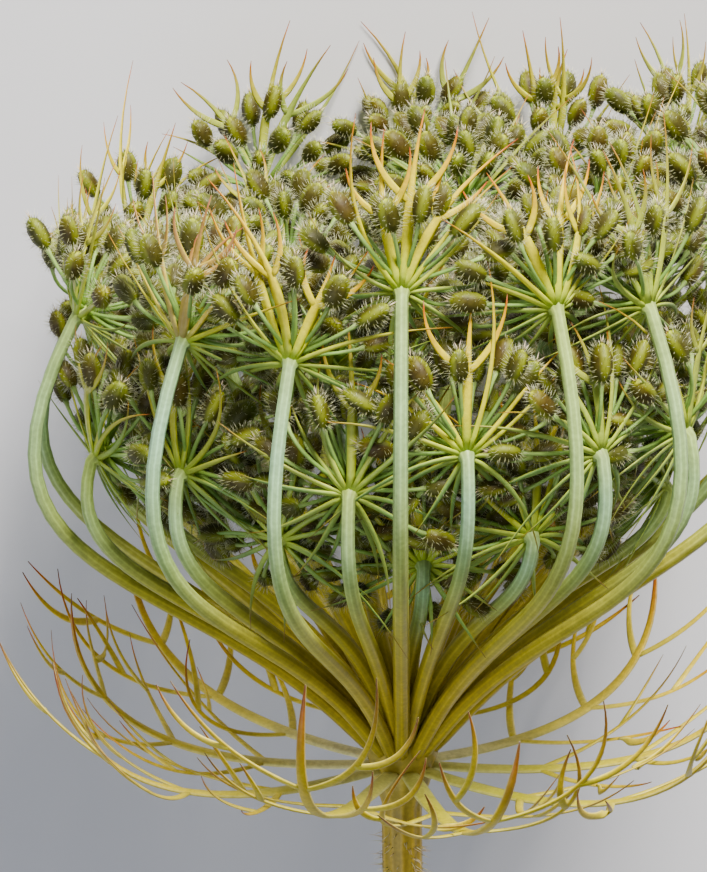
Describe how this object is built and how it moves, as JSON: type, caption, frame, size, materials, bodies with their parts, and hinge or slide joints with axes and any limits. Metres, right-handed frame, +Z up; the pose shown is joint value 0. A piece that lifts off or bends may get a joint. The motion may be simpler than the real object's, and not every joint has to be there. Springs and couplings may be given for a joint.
{
  "type": "wild carrot seed head",
  "caption": "Nest-shaped seed head of wild carrot, cut with a short stem and lying on its side: ribbed rays curve in to umbellets of bristly fruits over a ruff of forked bracts.",
  "frame": {"origin": "middle of the head's box on the surface it lies on: centre in X and Y, lowest point in Z", "axes": "+Y along the stem towards the open end of the head, +Z up, +X to the right of the side that faces up"},
  "size_m": [0.0714, 0.1064, 0.0655],
  "materials": {
    "stem": "yellow olive, ribbed, with fine pale bristles",
    "bract": "yellow green, with thin dark brown tips",
    "umbellet": "blue green to yellow green ray, yellow bracteoles and olive fruits with white bristles"
  },
  "bodies": {
    "root": {"stem": "stem", "bract_01": "bract", "bract_02": "bract", "bract_03": "bract", "bract_04": "bract", "bract_05": "bract", "bract_06": "bract", "bract_07": "bract", "bract_08": "bract", "bract_09": "bract", "bract_10": "bract", "umbellet_rim_01": "umbellet", "umbellet_rim_02": "umbellet", "umbellet_rim_03": "umbellet", "umbellet_rim_04": "umbellet", "umbellet_rim_05": "umbellet", "umbellet_rim_06": "umbellet", "umbellet_rim_07": "umbellet", "umbellet_rim_08": "umbellet", "umbellet_rim_09": "umbellet", "umbellet_rim_10": "umbellet", "umbellet_rim_11": "umbellet", "umbellet_rim_12": "umbellet", "umbellet_rim_13": "umbellet", "umbellet_rim_14": "umbellet", "umbellet_wall_01": "umbellet", "umbellet_wall_02": "umbellet", "umbellet_wall_03": "umbellet", "umbellet_wall_04": "umbellet", "umbellet_wall_05": "umbellet", "umbellet_wall_06": "umbellet", "umbellet_wall_07": "umbellet", "umbellet_wall_08": "umbellet", "umbellet_wall_09": "umbellet", "umbellet_wall_10": "umbellet", "umbellet_wall_11": "umbellet", "umbellet_wall_12": "umbellet", "umbellet_low_01": "umbellet", "umbellet_low_02": "umbellet", "umbellet_low_03": "umbellet", "umbellet_low_04": "umbellet", "umbellet_low_05": "umbellet", "umbellet_low_06": "umbellet", "umbellet_low_07": "umbellet", "umbellet_low_08": "umbellet", "umbellet_inner_01": "umbellet", "umbellet_inner_02": "umbellet", "umbellet_inner_03": "umbellet", "umbellet_inner_04": "umbellet", "umbellet_inner_05": "umbellet", "umbellet_inner_06": "umbellet", "umbellet_heart_01": "umbellet"}
  },
  "joints": []
}
